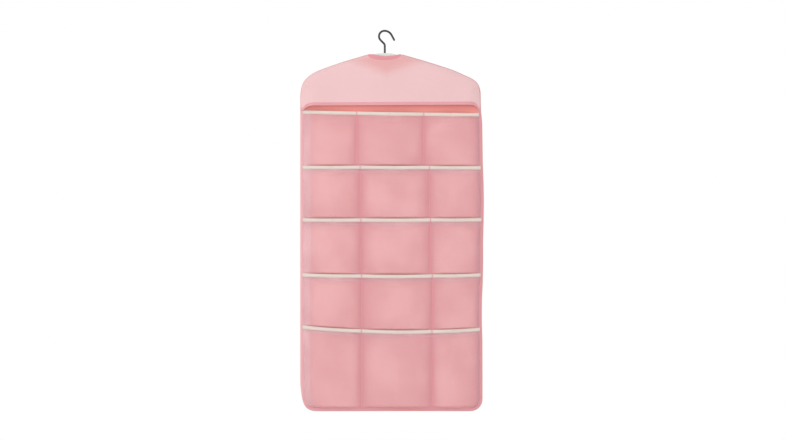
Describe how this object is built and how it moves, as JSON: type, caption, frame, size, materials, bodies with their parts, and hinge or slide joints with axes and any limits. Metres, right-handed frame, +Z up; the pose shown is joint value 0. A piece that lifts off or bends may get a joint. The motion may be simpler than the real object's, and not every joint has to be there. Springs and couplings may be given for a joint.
{
  "type": "hanging pocket organizer",
  "caption": "Hanging closet organizer: a swivelling steel hook and plastic hanger carry a fabric bag with rows of sheer mesh pockets for socks and underwear.",
  "frame": {"origin": "the point inside the hook's crown that rests on the rail, on the swivel axis", "axes": "+Z up along the swivel axis, -Y towards the pockets' side, +X to the right as seen from the pockets' side"},
  "size_m": [0.4252, 0.0228, 0.8825],
  "materials": {
    "steel": "polished wire",
    "white_plastic": "satin",
    "lining": "plain non-woven",
    "yoke": "plain woven",
    "hem": "folded and stitched",
    "facing": "folded and stitched",
    "edge_tape": "ribbed tape",
    "mesh": "sheer net",
    "binding": "ribbed tape",
    "stitching": "thread"
  },
  "bodies": {
    "hook": {"hook": "steel", "hook_washer": "steel"},
    "bag": {"hanger": "white_plastic", "back_panel": "lining", "yoke_front": "yoke", "yoke_hem": "hem", "neck_facing_front": "facing", "neck_facing_back": "facing", "edge_shoulder_left": "edge_tape", "edge_shoulder_right": "edge_tape", "edge_left": "edge_tape", "edge_right": "edge_tape", "edge_bottom": "edge_tape", "row_seam_1": "mesh", "row_seam_2": "mesh", "row_seam_3": "mesh", "row_seam_4": "mesh", "column_seam_1_1": "stitching", "column_seam_1_2": "stitching", "column_seam_2_1": "stitching", "column_seam_2_2": "stitching", "column_seam_3_1": "stitching", "column_seam_3_2": "stitching", "column_seam_4_1": "stitching", "column_seam_4_2": "stitching", "column_seam_5_1": "stitching", "column_seam_5_2": "stitching", "bar_tacks": "stitching"},
    "pocket_1_1": {"pocket_mesh_1_1": "mesh", "pocket_binding_1_1": "binding"},
    "pocket_1_2": {"pocket_mesh_1_2": "mesh", "pocket_binding_1_2": "binding"},
    "pocket_1_3": {"pocket_mesh_1_3": "mesh", "pocket_binding_1_3": "binding"},
    "pocket_2_1": {"pocket_mesh_2_1": "mesh", "pocket_binding_2_1": "binding"},
    "pocket_2_2": {"pocket_mesh_2_2": "mesh", "pocket_binding_2_2": "binding"},
    "pocket_2_3": {"pocket_mesh_2_3": "mesh", "pocket_binding_2_3": "binding"},
    "pocket_3_1": {"pocket_mesh_3_1": "mesh", "pocket_binding_3_1": "binding"},
    "pocket_3_2": {"pocket_mesh_3_2": "mesh", "pocket_binding_3_2": "binding"},
    "pocket_3_3": {"pocket_mesh_3_3": "mesh", "pocket_binding_3_3": "binding"},
    "pocket_4_1": {"pocket_mesh_4_1": "mesh", "pocket_binding_4_1": "binding"},
    "pocket_4_2": {"pocket_mesh_4_2": "mesh", "pocket_binding_4_2": "binding"},
    "pocket_4_3": {"pocket_mesh_4_3": "mesh", "pocket_binding_4_3": "binding"},
    "pocket_5_1": {"pocket_mesh_5_1": "mesh", "pocket_binding_5_1": "binding"},
    "pocket_5_2": {"pocket_mesh_5_2": "mesh", "pocket_binding_5_2": "binding"},
    "pocket_5_3": {"pocket_mesh_5_3": "mesh", "pocket_binding_5_3": "binding"}
  },
  "joints": [
    {"name": "hook_swivel", "type": "hinge", "parent": "hook", "child": "bag", "pos_m": [0, 0, -0.055], "axis": [0, 0, 1], "continuous": true},
    {"name": "mouth_1_1", "type": "hinge", "parent": "bag", "child": "pocket_1_1", "pos_m": [-0.1274, 0.0057, -0.3063], "axis": [1, 0, 0], "range_deg": [0, 12], "stiffness_Nm_per_rad": 0.03, "springref_deg": -8.59},
    {"name": "mouth_1_2", "type": "hinge", "parent": "bag", "child": "pocket_1_2", "pos_m": [0.0125, 0.0057, -0.3064], "axis": [1, 0, 0], "range_deg": [0, 12], "stiffness_Nm_per_rad": 0.03, "springref_deg": -8.59},
    {"name": "mouth_1_3", "type": "hinge", "parent": "bag", "child": "pocket_1_3", "pos_m": [0.15504, 0.0057, -0.3071], "axis": [1, 0, 0], "range_deg": [0, 12], "stiffness_Nm_per_rad": 0.03, "springref_deg": -8.59},
    {"name": "mouth_2_1", "type": "hinge", "parent": "bag", "child": "pocket_2_1", "pos_m": [-0.1234, 0.0057, -0.4283], "axis": [1, 0, 0], "range_deg": [0, 12], "stiffness_Nm_per_rad": 0.03, "springref_deg": -8.59},
    {"name": "mouth_2_2", "type": "hinge", "parent": "bag", "child": "pocket_2_2", "pos_m": [0.023, 0.0057, -0.4283], "axis": [1, 0, 0], "range_deg": [0, 12], "stiffness_Nm_per_rad": 0.03, "springref_deg": -8.59},
    {"name": "mouth_2_3", "type": "hinge", "parent": "bag", "child": "pocket_2_3", "pos_m": [0.16302, 0.0057, -0.428], "axis": [1, 0, 0], "range_deg": [0, 12], "stiffness_Nm_per_rad": 0.03, "springref_deg": -8.59},
    {"name": "mouth_3_1", "type": "hinge", "parent": "bag", "child": "pocket_3_1", "pos_m": [-0.1224, 0.0057, -0.5571], "axis": [1, 0, 0], "range_deg": [0, 12], "stiffness_Nm_per_rad": 0.03, "springref_deg": -8.59},
    {"name": "mouth_3_2", "type": "hinge", "parent": "bag", "child": "pocket_3_2", "pos_m": [0.0255, 0.0057, -0.5585], "axis": [1, 0, 0], "range_deg": [0, 12], "stiffness_Nm_per_rad": 0.03, "springref_deg": -8.59},
    {"name": "mouth_3_3", "type": "hinge", "parent": "bag", "child": "pocket_3_3", "pos_m": [0.1638, 0.0057, -0.557], "axis": [1, 0, 0], "range_deg": [0, 12], "stiffness_Nm_per_rad": 0.03, "springref_deg": -8.59},
    {"name": "mouth_4_1", "type": "hinge", "parent": "bag", "child": "pocket_4_1", "pos_m": [-0.1219, 0.0057, -0.6815], "axis": [1, 0, 0], "range_deg": [0, 12], "stiffness_Nm_per_rad": 0.03, "springref_deg": -8.59},
    {"name": "mouth_4_2", "type": "hinge", "parent": "bag", "child": "pocket_4_2", "pos_m": [0.028, 0.0057, -0.6871], "axis": [1, 0, 0], "range_deg": [0, 12], "stiffness_Nm_per_rad": 0.03, "springref_deg": -8.59},
    {"name": "mouth_4_3", "type": "hinge", "parent": "bag", "child": "pocket_4_3", "pos_m": [0.1644, 0.0057, -0.6845], "axis": [1, 0, 0], "range_deg": [0, 12], "stiffness_Nm_per_rad": 0.03, "springref_deg": -8.59},
    {"name": "mouth_5_1", "type": "hinge", "parent": "bag", "child": "pocket_5_1", "pos_m": [-0.1219, 0.0057, -0.8695], "axis": [1, 0, 0], "range_deg": [0, 12], "stiffness_Nm_per_rad": 0.03, "springref_deg": -8.59},
    {"name": "mouth_5_2", "type": "hinge", "parent": "bag", "child": "pocket_5_2", "pos_m": [0.0275, 0.0057, -0.8695], "axis": [1, 0, 0], "range_deg": [0, 12], "stiffness_Nm_per_rad": 0.03, "springref_deg": -8.59},
    {"name": "mouth_5_3", "type": "hinge", "parent": "bag", "child": "pocket_5_3", "pos_m": [0.16454, 0.0057, -0.8695], "axis": [1, 0, 0], "range_deg": [0, 12], "stiffness_Nm_per_rad": 0.03, "springref_deg": -8.59}
  ]
}
